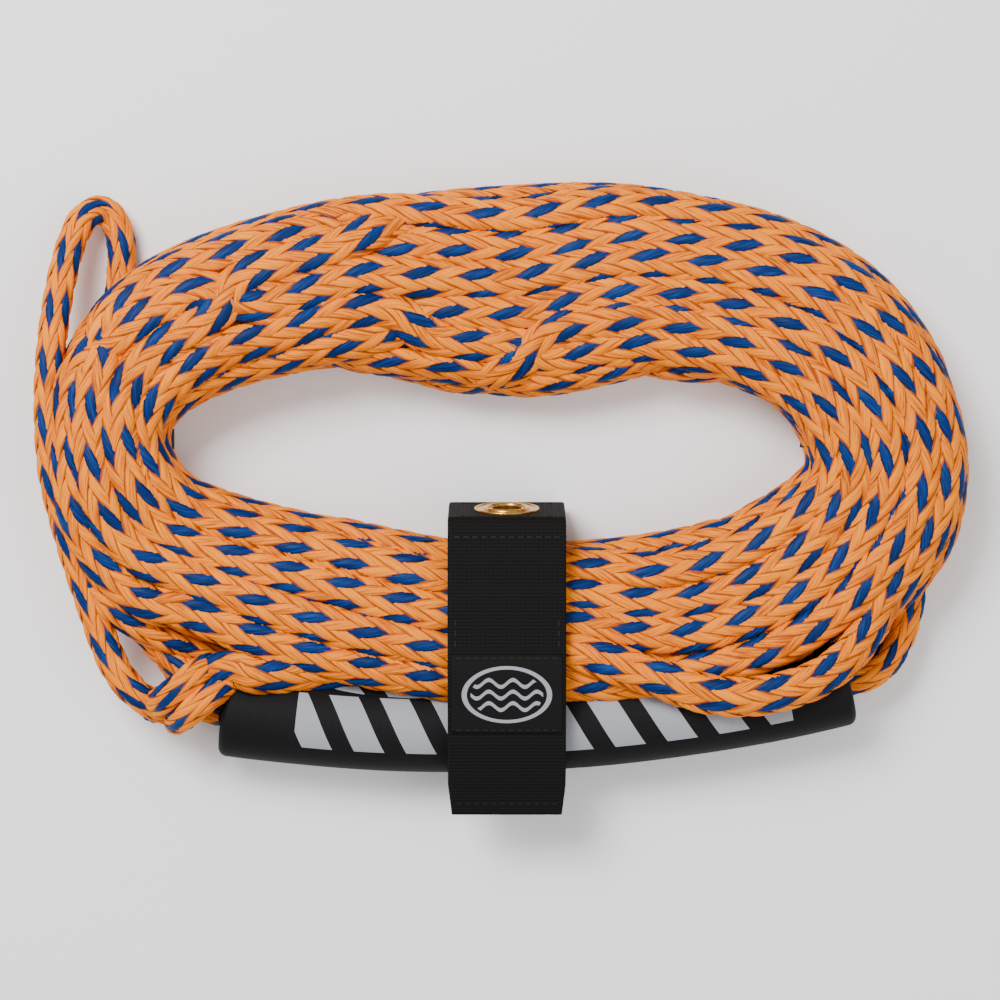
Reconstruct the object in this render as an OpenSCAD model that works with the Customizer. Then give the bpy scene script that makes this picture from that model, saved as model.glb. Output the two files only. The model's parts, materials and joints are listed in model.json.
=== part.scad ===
// Tow rope handle: a foam grip on its rope, the rope coiled into an oval bundle,
// and a hook and loop strap with a hanging grommet that holds the bundle to the grip.
// It lies flat: X runs along the grip, Z is up, and Z = 0 is the underside of the strap.

/* [Grip] */
// Length of the foam grip along its curve
grip_length = 270; // [240:5:300]
// Outside diameter of the foam grip
grip_d = 37; // [34:0.5:38]
// Radius of the curve that the grip is bent to
grip_bend_r = 700; // [600:10:1000]
// Turn of the grip in the floor plane, in degrees
grip_turn = 2.8; // [0:0.1:3.5]
// Outside diameter of the core tube
core_d = 25.4; // [22:0.2:27]
// Wall of the core tube
core_wall = 1.6; // [1:0.1:2]

/* [Rope] */
// Diameter of the rope before it is pressed flat
rope_d = 13; // [11:0.5:14]
// Number of turns in the bundle
rope_turns = 22; // [18:1:24]
// Floor area that one pressed turn takes in the bundle's cross section
turn_area = 122; // [108:1:128]

/* [Strap] */
// Width of the strap webbing
strap_w = 50; // [46:1:52]
// Thickness of the strap webbing
strap_t = 1.8; // [1.5:0.1:1.8]
// Thickness of the hook tape under the flap
hook_t = 1.2; // [0.8:0.1:1.2]
// Thickness of the loop tape on the wrap
loop_t = 1; // [0.8:0.1:1]
// Height of the woven label
label_h = 33; // [25:1:33]

/* [Grommet] */
// Hole of the grommet
grommet_hole_d = 12.7; // [10:0.1:14]
// Outside diameter of the grommet
grommet_d = 27.8; // [24:0.1:29]

/* [Hidden] */
$fn = 96;

// The grip's middle stands just clear of the strap that runs under it.
grip_mid = [0, -30];
grip_z = strap_t + grip_d / 2 + 0.3;
grip_keep = grip_d / 2 + 0.6;
grip_half = grip_length / 2 / grip_bend_r * 180 / PI;
plug_len = 14;
rope_r = rope_d / 2;

// Middle of the bundle all round, as [x, y, half width], clockwise from the top.
bundle = [[-16, 157, 45.5], [49, 161, 41], [118, 141, 36], [149, 94, 34], [137, 52, 37],
    [78, 18, 40], [-12, 13, 36], [-89, 22, 37], [-162, 45, 36], [-184, 94, 26],
    [-160, 137, 32], [-95, 159, 36]];
bundle_steps = 4;
bundle_sides = 20;
bundle_floor = strap_t + 0.4;
bundle_area = rope_turns * turn_area;
bundle_tall = 25;
// A superellipse of this power fills 0.85 of the box around it.
bundle_power = 2.6;
bundle_fill = 0.85 * 4;

// Routes of the free rope, from the exit on.
left_leg = [[-135, -23.6, 20.6], [-142, -22, 18.5], [-149, -16, 13.5], [-155, -7, 9], [-161, 3, 7],
    [-167, 14, 6.8], [-172, 28, 6.8], [-174, 40, 6.9]];
right_leg = [[134, -10.4, 20.6], [138, -9.5, 20.5], [143, -7.6, 20], [148, -4.5, 19], [152, 0, 18],
    [155.5, 6, 17], [158.5, 13, 16], [160.5, 20, 15], [162, 28, 14], [163, 36, 13],
    [163.5, 44, 12], [163.5, 52, 11.4], [163, 60, 11]];
eye_route = [[-152, -20, 28], [-158, -22.5, 28], [-165, -19.5, 28], [-173, -14, 28], [-180, -5, 28],
    [-185.5, 7, 28], [-192, 27, 31], [-200, 53, 34], [-206, 78, 36], [-208, 102, 36], [-208, 124, 33],
    [-206, 150, 27], [-202, 174, 19], [-196, 190, 12], [-187, 193, 8], [-181, 182, 7], [-181, 162, 6.8],
    [-186, 134, 6.8], [-191, 104, 6.8], [-193, 76, 6.8], [-190, 54, 7.2], [-184, 34, 9],
    [-176, 20, 13], [-166, 8, 19], [-156, -1, 23], [-148, -8, 26]];
knot_at = [-152, -14, 32];

// Strap path in the Y Z plane. Flap and tail lie over the wrap, with the tapes between them.
strap_x = -38;
wrap_r = grip_d / 2 + 1.5 + strap_t / 2;
wrap_mid = [grip_mid.y, wrap_r + strap_t / 2];
stack = strap_t + loop_t + 0.3 + hook_t;
face_tilt = 10;
face_length = 37.2;
foot_r = 8.5;
foot_mid = [57.6, foot_r + strap_t / 2];
face_foot = foot_mid + foot_r * [cos(face_tilt), sin(face_tilt)];
face_top = face_foot + face_length * [-sin(face_tilt), cos(face_tilt)];
wrap_end = [22, 47.4];
wrap_rise = [-4, 47.4];
tail_y = -48;
tail_end = [-66, 35];
flap_path = [[58, 49.8], [45, 50.9], [22, wrap_end.y + stack], [-4.8, wrap_rise.y + stack],
    [-34.6, 46.3], [tail_y, 42]];

face_mid = (face_top + face_foot) / 2;
stitch = [2.4, 0.7, 0.5];

function unit(v) = v / norm(v);
function left_of(v) = [-v.y, v.x];
function wrap_index(i, n) = (i + n) % n;

// Point on a smooth curve through four points a, b, c, d, between b and c.
function blend(a, b, c, d, t) =
    0.5 * (2 * b + (c - a) * t + (2 * a - 5 * b + 4 * c - d) * t * t + (3 * b - a - 3 * c + d) * t * t * t);
function closed_curve(p, steps) = [for (i = [0:len(p) - 1], k = [0:steps - 1])
    let (n = len(p))
    blend(p[wrap_index(i - 1, n)], p[i], p[wrap_index(i + 1, n)], p[wrap_index(i + 2, n)], k / steps)];
function open_curve(p, steps) = let (n = len(p) - 1) concat(
    [for (i = [0:n - 1], k = [0:steps - 1])
        blend(p[max(i - 1, 0)], p[i], p[i + 1], p[min(i + 2, n)], k / steps)], [p[n]]);

// Faces of a grid of rings, each of sides points, either closed on itself or capped at its ends.
function ring_faces(rings, sides, closed) = concat(
    [for (i = [0:rings - (closed ? 1 : 2)], j = [0:sides - 1])
        let (a = i * sides, b = wrap_index(i + 1, rings) * sides, k = (j + 1) % sides)
        [a + j, a + k, b + k, b + j]],
    closed ? [] : [[for (j = [sides - 1:-1:0]) j], [for (j = [0:sides - 1]) (rings - 1) * sides + j]]);

// Power curve that squares off a circle's sine or cosine.
function squared(v) = sign(v) * pow(abs(v), 2 / bundle_power);

// Centre of the circle that the grip's middle line follows.
grip_centre = grip_mid + grip_bend_r * [-sin(grip_turn), cos(grip_turn)];

// A point that would lie in or under the grip moves in to the grip's near side at its own height,
// so the bundle lies against the grip and over it.
function off_grip(p) =
    let (r = [p.x, p.y] - grip_centre, out = norm(r) - grip_bend_r,
        rise = min(max(p.z - grip_z, 0), grip_keep), most = -sqrt(grip_keep * grip_keep - rise * rise))
    rise >= grip_keep || out <= most ? p
        : let (flat = grip_centre + unit(r) * (grip_bend_r + most)) [flat.x, flat.y, p.z];

function bundle_ring(c, along) =
    let (side = left_of(unit(along)), w = c.z,
        h = min(bundle_tall, bundle_area / bundle_fill / w))
    [for (j = [0:bundle_sides - 1])
        let (a = 360 * j / bundle_sides, s = squared(cos(a)) * w)
        off_grip([c.x + side.x * s, c.y + side.y * s, bundle_floor + h + squared(sin(a)) * h])];

function tube_ring(c, along, r, sides) =
    let (t = unit(along), side = unit([-t.y, t.x, 0]), up = cross(t, side))
    [for (j = [0:sides - 1]) c + r * (cos(360 * j / sides) * side + sin(360 * j / sides) * up)];

module tube(route, r, steps = 2, sides = 10) {
    line = open_curve(route, steps);
    last = len(line) - 1;
    rings = [for (i = [0:last])
        tube_ring(line[i], line[min(i + 1, last)] - line[max(i - 1, 0)], r, sides)];
    polyhedron([for (ring = rings) each ring], ring_faces(last + 1, sides, false), convexity = 6);
}

// A ring with the given inner and outer radius, swept along part of the grip's curve.
module along_grip(inner, outer, from, to) {
    translate([grip_centre.x, grip_centre.y, grip_z])
        rotate([0, 0, grip_turn - 90 + from])
            rotate_extrude(angle = to - from, $fn = 720)
                translate([grip_bend_r, 0])
                    difference() {
                        circle(r = outer, $fn = 64);
                        if (inner > 0) circle(r = inner, $fn = 64);
                    }
}

function grip_angle(length) = length / grip_bend_r * 180 / PI;

// Corner points of a strip between offsets a and b from a path in the Y Z plane.
function path_normal(p, i) =
    let (n = len(p) - 1, u = unit(p[max(i, 1)] - p[max(i, 1) - 1]), v = unit(p[min(i + 1, n)] - p[min(i, n - 1)]),
        m = unit(left_of(u) + left_of(v)))
    m / (m * left_of(u));
function strip(p, a, b) = concat(
    [for (i = [0:len(p) - 1]) p[i] + path_normal(p, i) * a],
    [for (i = [len(p) - 1:-1:0]) p[i] + path_normal(p, i) * b]);
// The stretch of a falling path between two values of Y.
function cut(p, from, to) = concat([[from, lookup(from, p)]],
    [for (q = p) if (q.x < from - 0.5 && q.x > to + 0.5) q], [[to, lookup(to, p)]]);

module across(x, w) {
    translate([x, 0, 0]) rotate([90, 0, 90]) linear_extrude(w, convexity = 8) children();
}

// Round the foot of the grommet face, along the floor, round the grip and up over the bundle.
wrap_leaves = wrap_mid + wrap_r * [cos(101), sin(101)];
wrap_path = concat([face_top],
    [for (a = [face_tilt:-20:-90]) foot_mid + foot_r * [cos(a), sin(a)]],
    [for (a = [270:-10:110]) wrap_mid + wrap_r * [cos(a), sin(a)]],
    [wrap_leaves, wrap_rise, wrap_end]);
front_path = [wrap_end, wrap_rise, wrap_leaves];

// Places children on the outside of the strap's grommet face, with +Z pointing out of it.
module on_face(depth = 0) {
    translate([strap_x + strap_w / 2, face_mid.x, face_mid.y])
        rotate([-90 + face_tilt, 0, 0]) translate([0, 0, depth]) children();
}

// A row of stitches across the strap at one Y on a path, on the side that lift points to.
module stitch_row(path, y, lift, from, to) {
    count = floor((to - from) / (stitch.x * 1.5));
    slope = atan2(lookup(y + 1, path) - lookup(y - 1, path), 2);
    for (i = [0:count - 1])
        translate([from + (i + 0.5) * (to - from) / count, y - lift * sin(slope), lookup(y, path) + lift * cos(slope)])
            rotate([slope, 0, 0]) cube(stitch, center = true);
}

// A line of stitches along a path at one X.
module stitch_line(path, x, lift, from, to) {
    count = floor((from - to) / (stitch.x * 1.5));
    for (i = [0:count - 1]) {
        y = from - (i + 0.5) * (from - to) / count;
        slope = atan2(lookup(y + 1, path) - lookup(y - 1, path), 2);
        translate([x, y - lift * sin(slope), lookup(y, path) + lift * cos(slope)])
            rotate([slope, 0, 0]) cube([stitch.y, stitch.x, stitch.z], center = true);
    }
}

module rounded_bar(w, h, r) {
    square([w - 2 * r, h], center = true);
    square([w, h - 2 * r], center = true);
    for (sx = [-1, 1], sy = [-1, 1]) translate([sx * (w / 2 - r), sy * (h / 2 - r)]) circle(r = r);
}

// A flat band around the bundle, lying across it at one station.
module bundle_tie(at, w, h, turn) {
    translate([at.x, at.y, bundle_floor + h / 2]) rotate([90, 0, turn])
        linear_extrude(9, center = true, convexity = 4)
            difference() {
                rounded_bar(w, h, h * 0.42);
                rounded_bar(w - 2, h - 2, h * 0.42 - 1);
            }
}

module grip_sleeve() {
    color([0.06, 0.06, 0.06]) along_grip(core_d / 2, grip_d / 2, -grip_half, grip_half);
}

module core_tube() {
    reach = grip_half - grip_angle(4);
    color([0.75, 0.76, 0.78]) along_grip(core_d / 2 - core_wall, core_d / 2, -reach, reach);
}

// A plug with a flange against the tube's end and a hole for the rope, its outer face at local Z = 0.
module end_plug(side) {
    flange_t = 3;
    color([0.1, 0.1, 0.1])
        translate([grip_centre.x, grip_centre.y, grip_z])
            rotate([0, 0, grip_turn - 90 + side * (grip_half - grip_angle(1))])
                translate([grip_bend_r, 0, 0]) rotate([side * 90, 0, 0])
                    difference() {
                        union() {
                            cylinder(r = core_d / 2, h = flange_t);
                            cylinder(r = core_d / 2 - core_wall - 0.2, h = flange_t + plug_len);
                        }
                        translate([0, 0, -1]) cylinder(r = rope_r + 0.3, h = flange_t + plug_len + 2);
                    }
}

module end_plug_left() { end_plug(-1); }

module end_plug_right() { end_plug(1); }

module rope_in_grip() {
    color([0.94, 0.6, 0.19]) along_grip(0, rope_r, -grip_half, grip_half);
}

module bridle_left_leg() { color([0.94, 0.6, 0.19]) tube(left_leg, rope_r); }

module bridle_right_leg() { color([0.94, 0.6, 0.19]) tube(right_leg, rope_r); }

// Where the right leg is tucked into the rope, under the bundle.
module bridle_splice() {
    last = right_leg[len(right_leg) - 1];
    color([0.85, 0.5, 0.12]) translate(last) rotate([-90, 0, 6]) cylinder(r = rope_r + 1.2, h = 55);
}

module main_coil() {
    line = closed_curve(bundle, bundle_steps);
    n = len(line);
    rings = [for (i = [0:n - 1])
        let (ahead = line[(i + 1) % n], behind = line[wrap_index(i - 1, n)])
        bundle_ring(line[i], [ahead.x - behind.x, ahead.y - behind.y])];
    color([0.94, 0.6, 0.19])
        polyhedron([for (ring = rings) each ring], ring_faces(n, bundle_sides, true), convexity = 8);
}

module eye_loop() { color([0.94, 0.6, 0.19]) tube(eye_route, rope_r); }

module eye_knot() {
    color([0.94, 0.6, 0.19]) translate(knot_at) rotate([0, 68, 42])
        rotate_extrude()
            intersection() {
                union() {
                    translate([8, 8]) circle(r = 7);
                    translate([8, -8]) circle(r = 7);
                    translate([0, -8]) square([15, 16]);
                    translate([0, -15]) square([8, 30]);
                }
                square([40, 80], center = true);
            }
}

module knot_tail() {
    color([0.9, 0.55, 0.16]) translate(knot_at + [-11, -18, -6]) rotate([0, 78, 60]) cylinder(r = rope_r - 1, h = 12);
}

module bundle_tie_left() { color([0.07, 0.07, 0.07]) bundle_tie([-184, 94], 54, 48, 0); }

module bundle_tie_right() { color([0.07, 0.07, 0.07]) bundle_tie([149, 90], 70, 42, -8); }

module strap_wrap() {
    color([0.04, 0.04, 0.04]) difference() {
        across(strap_x, strap_w) polygon(strip(wrap_path, -strap_t / 2, strap_t / 2));
        on_face(-strap_t) cylinder(r = grommet_hole_d / 2 + 1, h = strap_t * 3);
    }
}

module strap_flap() {
    color([0.05, 0.05, 0.05])
        across(strap_x, strap_w) polygon(strip(flap_path, -strap_t / 2, strap_t / 2));
}

module strap_tail() {
    color([0.05, 0.05, 0.05]) across(strap_x + 0.5, strap_w - 1)
        polygon(strip([flap_path[len(flap_path) - 1] + [-0.4, -0.16], tail_end], -strap_t / 2, strap_t / 2));
}

// Second layer of webbing behind the grommet.
module grommet_patch() {
    color([0.09, 0.09, 0.09]) on_face(-strap_t / 2 - strap_t) difference() {
        translate([-strap_w / 2 + 2, -16.5, 0]) cube([strap_w - 4, 33, strap_t]);
        translate([0, 0, -1]) cylinder(r = grommet_hole_d / 2 + 1, h = strap_t + 2);
    }
}

module patch_stitching() {
    count = 12;
    step = (strap_w - 10) / count;
    color([0.16, 0.16, 0.16]) on_face(strap_t / 2) for (sy = [-15.2, 15.2], i = [0:count - 1])
        translate([(i + 0.5 - count / 2) * step, sy, 0]) cube(stitch, center = true);
}

// Brass eyelet: a rolled flange outside and a barrel through both layers.
module grommet_eyelet() {
    hole_r = grommet_hole_d / 2;
    rim_r = grommet_d / 2;
    color([0.72, 0.52, 0.2]) on_face() difference() {
        union() {
            translate([0, 0, -strap_t * 1.5 - 1.6]) cylinder(r = hole_r + 0.8, h = strap_t * 2 + 2.2);
            translate([0, 0, strap_t / 2]) cylinder(r = rim_r, h = 0.5);
            translate([0, 0, strap_t / 2 + 0.5]) rotate_extrude() translate([hole_r + 2.6, 0]) circle(r = 1);
            translate([0, 0, strap_t / 2 + 0.5]) rotate_extrude() translate([rim_r - 0.5, 0]) circle(r = 0.5);
        }
        translate([0, 0, -10]) cylinder(r = hole_r, h = 20);
        translate([0, 0, -10 + strap_t / 2]) difference() {
            cylinder(r = rim_r + 1, h = 10);
            translate([0, 0, -1]) cylinder(r = hole_r + 0.8, h = 12);
        }
    }
}

// Flat washer that the barrel is turned over, behind the patch.
module grommet_washer() {
    color([0.66, 0.47, 0.18]) on_face(-strap_t * 1.5 - 0.8) difference() {
        cylinder(r = grommet_d / 2 - 0.8, h = 0.8);
        translate([0, 0, -1]) cylinder(r = grommet_hole_d / 2 + 0.8, h = 3);
    }
}

module loop_pad() {
    color([0.1, 0.1, 0.11]) across(strap_x + 2, strap_w - 4)
        polygon(strip(cut(front_path, 20, -33), -strap_t / 2 - loop_t, -strap_t / 2));
}

module loop_pad_stitching() {
    color([0.2, 0.2, 0.2]) for (x = [strap_x + 3.2, strap_x + strap_w - 3.2])
        stitch_line(front_path, x, strap_t / 2 + loop_t - 0.2, 18, -31);
}

module hook_pad() {
    color([0.08, 0.08, 0.09]) across(strap_x + 2, strap_w - 4)
        polygon(strip(cut(flap_path, 19, -33), strap_t / 2, strap_t / 2 + hook_t));
}

module hook_pad_stitching() {
    color([0.14, 0.14, 0.14]) for (x = [strap_x + 3.2, strap_x + strap_w - 3.2])
        stitch_line(flap_path, x, strap_t / 2, 18, 5);
}

module hem_stitching() {
    color([0.16, 0.16, 0.16]) stitch_row(flap_path, 52, strap_t / 2, strap_x + 2, strap_x + strap_w - 2);
}

module woven_label() {
    color([0.12, 0.12, 0.13]) across(strap_x + 1.5, strap_w - 3)
        polygon(strip(cut(flap_path, 2.5, 2.5 - label_h), -strap_t / 2 - 0.6, -strap_t / 2));
}

module label_stitching() {
    top = 2.5;
    lift = strap_t / 2 + 0.6;
    color([0.2, 0.2, 0.2]) {
        stitch_row(flap_path, top - 1.4, lift, strap_x + 3, strap_x + strap_w - 3);
        stitch_row(flap_path, top - label_h + 1.4, lift, strap_x + 3, strap_x + strap_w - 3);
    }
}

module tail_stitching() {
    end_path = [flap_path[len(flap_path) - 1], tail_end];
    color([0.16, 0.16, 0.16]) stitch_row(end_path, tail_end.x + 5, strap_t / 2, strap_x + 3, strap_x + strap_w - 3);
}

grip_sleeve();
core_tube();
end_plug_left();
end_plug_right();
rope_in_grip();
bridle_left_leg();
bridle_right_leg();
bridle_splice();
main_coil();
eye_loop();
eye_knot();
knot_tail();
bundle_tie_left();
bundle_tie_right();
strap_wrap();
strap_flap();
strap_tail();
grommet_patch();
patch_stitching();
grommet_eyelet();
grommet_washer();
loop_pad();
loop_pad_stitching();
hook_pad();
hook_pad_stitching();
hem_stitching();
woven_label();
label_stitching();
tail_stitching();
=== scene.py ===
# Tow rope handle: looks for the grip, the coiled rope and the strap that holds them.
import bpy
import bmesh
import json
import math
import numpy as np
from mathutils import Vector, Matrix

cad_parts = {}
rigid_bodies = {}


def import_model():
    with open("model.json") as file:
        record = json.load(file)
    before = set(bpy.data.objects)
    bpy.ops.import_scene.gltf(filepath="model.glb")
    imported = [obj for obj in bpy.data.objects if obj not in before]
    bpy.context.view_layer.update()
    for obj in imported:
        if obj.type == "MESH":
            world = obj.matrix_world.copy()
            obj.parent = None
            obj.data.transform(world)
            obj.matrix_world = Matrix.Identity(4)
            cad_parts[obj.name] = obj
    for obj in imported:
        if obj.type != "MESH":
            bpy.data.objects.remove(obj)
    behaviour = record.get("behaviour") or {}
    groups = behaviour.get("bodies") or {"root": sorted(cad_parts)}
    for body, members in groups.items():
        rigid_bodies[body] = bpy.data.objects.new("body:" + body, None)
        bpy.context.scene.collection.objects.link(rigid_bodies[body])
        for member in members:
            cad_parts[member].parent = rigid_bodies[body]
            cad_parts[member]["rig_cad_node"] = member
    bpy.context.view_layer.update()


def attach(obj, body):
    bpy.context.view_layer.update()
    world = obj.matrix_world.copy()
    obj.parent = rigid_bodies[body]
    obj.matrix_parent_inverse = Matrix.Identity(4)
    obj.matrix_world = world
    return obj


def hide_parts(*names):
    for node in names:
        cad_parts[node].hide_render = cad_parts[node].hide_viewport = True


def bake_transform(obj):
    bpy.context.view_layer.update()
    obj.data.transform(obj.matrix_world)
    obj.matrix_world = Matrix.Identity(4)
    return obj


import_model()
mm = 0.001

cameraSet = {"at": (-0.0159, 0.0677, 1.422), "lens": 117.2, "sensor": 36}
cameraData = bpy.data.cameras.new("camera")
cameraData.lens = cameraSet["lens"]
cameraData.sensor_width = cameraSet["sensor"]
camera = bpy.data.objects.new("camera", cameraData)
camera.location = cameraSet["at"]
bpy.context.scene.collection.objects.link(camera)
bpy.context.scene.camera = camera
print("camera placed")


def unit(v):
    return v / np.maximum(np.linalg.norm(v, axis=-1, keepdims=True), 1e-12)


def smooth(t):
    t = np.clip(t, 0, 1)
    return t * t * (3 - 2 * t)


# smooth curve through points, steps samples to each gap
def curveThrough(points, steps, closed=False):
    p = np.array(points, float)
    n = len(p)
    t = np.arange(steps)[:, None] / steps
    out = []
    for i in range(n if closed else n - 1):
        if closed:
            a, b, c, d = p[i - 1], p[i], p[(i + 1) % n], p[(i + 2) % n]
        else:
            a, b, c, d = p[max(i - 1, 0)], p[i], p[i + 1], p[min(i + 2, n - 1)]
        out.append(0.5 * (2 * b + (c - a) * t + (2 * a - 5 * b + 4 * c - d) * t ** 2
                          + (3 * b - a - 3 * c + d) * t ** 3))
    if not closed:
        out.append(p[-1:])
    return np.concatenate(out)


# points, and anything given per point, resampled at an even step along the line
def evenly(points, step, *others):
    gaps = np.linalg.norm(np.diff(points, axis=0), axis=1)
    run = np.concatenate([[0], np.cumsum(gaps)])
    count = max(int(round(run[-1] / step)), 2)
    at = np.linspace(0, run[-1], count + 1)
    result = [np.stack([np.interp(at, run, c) for c in a.T], 1) for a in (points, *others)]
    return result, run[-1]


def meshPiece(name, verts, faces, uvs=None, material=None, smoothFaces=True):
    mesh = bpy.data.meshes.new(name)
    verts = np.asarray(verts, np.float32).reshape(-1, 3)
    faces = np.asarray(faces, np.int32)
    mesh.vertices.add(len(verts))
    mesh.vertices.foreach_set("co", verts.ravel())
    mesh.loops.add(faces.size)
    mesh.loops.foreach_set("vertex_index", faces.ravel())
    mesh.polygons.add(len(faces))
    mesh.polygons.foreach_set("loop_start", np.arange(0, faces.size, faces.shape[1], dtype=np.int32))
    if uvs is not None:
        layer = mesh.uv_layers.new(name="UVMap")
        layer.data.foreach_set("uv", np.asarray(uvs, np.float32)[faces.ravel()].ravel())
    mesh.update(calc_edges=True)
    mesh.validate()
    mesh.polygons.foreach_set("use_smooth", [smoothFaces] * len(mesh.polygons))
    piece = bpy.data.objects.new(name, mesh)
    bpy.context.scene.collection.objects.link(piece)
    if material:
        mesh.materials.append(material)
    return piece


def group(name, inputs, outputs):
    tree = bpy.data.node_groups.new(name, "ShaderNodeTree")
    for label, kind, value in inputs:
        socket = tree.interface.new_socket(label, in_out="INPUT", socket_type=kind)
        if value is not None:
            socket.default_value = value
    for label, kind in outputs:
        tree.interface.new_socket(label, in_out="OUTPUT", socket_type=kind)
    start = tree.nodes.new("NodeGroupInput")
    end = tree.nodes.new("NodeGroupOutput")
    return tree, start, end


def node(tree, kind, **values):
    made = tree.nodes.new(kind)
    for key, value in values.items():
        if hasattr(made, key):
            setattr(made, key, value)
        else:
            made.inputs[key.replace("_", " ")].default_value = value
    return made


# one math node, where each value is a number or another node's output
def calc(tree, operation, *values, clamp=False):
    made = node(tree, "ShaderNodeMath", operation=operation, use_clamp=clamp)
    for index, value in enumerate(values):
        if isinstance(value, (int, float)):
            made.inputs[index].default_value = value
        else:
            tree.links.new(value, made.inputs[index])
    return made.outputs[0]


def pieceUv(tree):
    place = node(tree, "ShaderNodeTexCoord")
    parts = node(tree, "ShaderNodeSeparateXYZ")
    tree.links.new(place.outputs["UV"], parts.inputs[0])
    return parts.outputs


def joinXy(tree, x, y):
    joined = node(tree, "ShaderNodeCombineXYZ")
    tree.links.new(x, joined.inputs[0])
    tree.links.new(y, joined.inputs[1])
    return joined.outputs[0]


# lays a pale colour over a material wherever the mask is 1
def paintOver(material, mask, colour):
    tree = material.node_tree
    base = tree.nodes["Principled BSDF"].inputs["Base Color"]
    mix = node(tree, "ShaderNodeMix", data_type="RGBA")
    mix.inputs[7].default_value = (*colour, 1)
    tree.links.new(mask, mix.inputs[0])
    tree.links.new(base.links[0].from_socket, mix.inputs[6])
    tree.links.new(mix.outputs[2], base)


# fine fibres along a yarn, with painted shade at its edges, U runs across it and V along it
# the edge values set where the painted shade along each yarn's edges starts and how deep it goes
fibreSet = {"count": 9.0, "run": 9.0, "edgeFrom": 0.28, "edgeTo": 0.46, "edgeDark": 0.34, "yarnScale": 1.7}


def fibreGroup():
    tree, start, end = group("fibre",
                             [("Count", "NodeSocketFloat", fibreSet["count"]),
                              ("Run", "NodeSocketFloat", fibreSet["run"])],
                             [("Shade", "NodeSocketFloat"), ("Height", "NodeSocketFloat"),
                              ("Yarn", "NodeSocketFloat")])
    link = tree.links.new
    u, v, _ = pieceUv(tree)
    across = calc(tree, "MULTIPLY", u, start.outputs["Count"])
    along = calc(tree, "MULTIPLY", v, start.outputs["Run"])
    fine = node(tree, "ShaderNodeTexNoise", Scale=1.0, Detail=3.0, Roughness=0.6)
    link(joinXy(tree, across, along), fine.inputs["Vector"])
    yarn = node(tree, "ShaderNodeTexNoise", Scale=fibreSet["yarnScale"], Detail=1.0)
    link(joinXy(tree, calc(tree, "FLOOR", u), v), yarn.inputs["Vector"])
    # painted shade along both edges of the yarn, where it goes under its neighbours
    apart = calc(tree, "ABSOLUTE", calc(tree, "SUBTRACT", calc(tree, "FRACT", u), 0.5))
    edge = node(tree, "ShaderNodeMapRange", interpolation_type="SMOOTHSTEP")
    edge.inputs["From Min"].default_value = fibreSet["edgeFrom"]
    edge.inputs["From Max"].default_value = fibreSet["edgeTo"]
    edge.inputs["To Max"].default_value = fibreSet["edgeDark"]
    link(apart, edge.inputs["Value"])
    link(calc(tree, "SUBTRACT", fine.outputs["Fac"], edge.outputs["Result"]), end.inputs["Shade"])
    link(fine.outputs["Fac"], end.inputs["Height"])
    link(yarn.outputs["Fac"], end.inputs["Yarn"])
    return tree


fibre = fibreGroup()


def yarnMaterial(name, dark, middle, light, roughness):
    material = bpy.data.materials.new(name)
    material.use_nodes = True
    tree = material.node_tree
    link = tree.links.new
    surface = tree.nodes["Principled BSDF"]
    lines = tree.nodes.new("ShaderNodeGroup")
    lines.node_tree = fibre
    ramp = node(tree, "ShaderNodeValToRGB")
    ramp.color_ramp.elements[0].position = 0.3
    ramp.color_ramp.elements[0].color = (*dark, 1)
    ramp.color_ramp.elements[1].position = 0.72
    ramp.color_ramp.elements[1].color = (*light, 1)
    between = ramp.color_ramp.elements.new(0.5)
    between.color = (*middle, 1)
    # each yarn is a little lighter or darker than the next
    spread = calc(tree, "MULTIPLY_ADD", lines.outputs["Yarn"], 0.35, lines.outputs["Shade"])
    link(calc(tree, "ADD", spread, -0.175), ramp.inputs["Fac"])
    link(ramp.outputs["Color"], surface.inputs["Base Color"])
    bump = node(tree, "ShaderNodeBump", Strength=0.5, Distance=0.0003)
    link(lines.outputs["Height"], bump.inputs["Height"])
    link(bump.outputs["Normal"], surface.inputs["Normal"])
    surface.inputs["Roughness"].default_value = roughness
    surface.inputs["Specular IOR Level"].default_value = 0.12
    return material


orangeYarn = yarnMaterial("orangeYarn", (0.34, 0.055, 0.0), (0.86, 0.21, 0.0), (1.0, 0.32, 0.001), 0.6)
blueYarn = yarnMaterial("blueYarn", (0.0005, 0.008, 0.05), (0.001, 0.018, 0.11), (0.004, 0.05, 0.22), 0.5)
# the core's dark colours are painted shade, seen in the gaps between the yarns
coreYarn = yarnMaterial("coreYarn", (0.05, 0.012, 0.001), (0.09, 0.022, 0.001), (0.14, 0.04, 0.002), 0.8)


braidSet = {"lead": 0.0988, "yarnWide": 0.0049, "lift": 0.0007, "crown": 0.0006, "step": 0.0023,
            "across": 3, "coreStep": 0.005, "coreSides": 10, "power": 2.05, "flatWide": 0.0078,
            "flatThick": 0.0042, "yarnInset": 0.0012, "coreInset": 0.0016, "floor": 0.0004, "tuck": 0.55,
            "press": 1.6}


# a closed outline by its own length: where it is and which way it faces
def outline(power, wide, thick):
    a = np.linspace(0, 2 * math.pi, 721)
    x = np.sign(np.cos(a)) * np.abs(np.cos(a)) ** (2 / power) * wide
    y = np.sign(np.sin(a)) * np.abs(np.sin(a)) ** (2 / power) * thick
    run = np.concatenate([[0], np.cumsum(np.hypot(np.diff(x), np.diff(y)))])
    share = run / run[-1]
    f = np.linspace(0, 1, 401)
    x, y = np.interp(f, share, x), np.interp(f, share, y)
    dx, dy = np.gradient(x), np.gradient(y)
    dx[0] = dx[-1] = 0
    size = np.hypot(dx, dy)
    return f, x, y, dy / size, -dx / size, run[-1]


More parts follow.
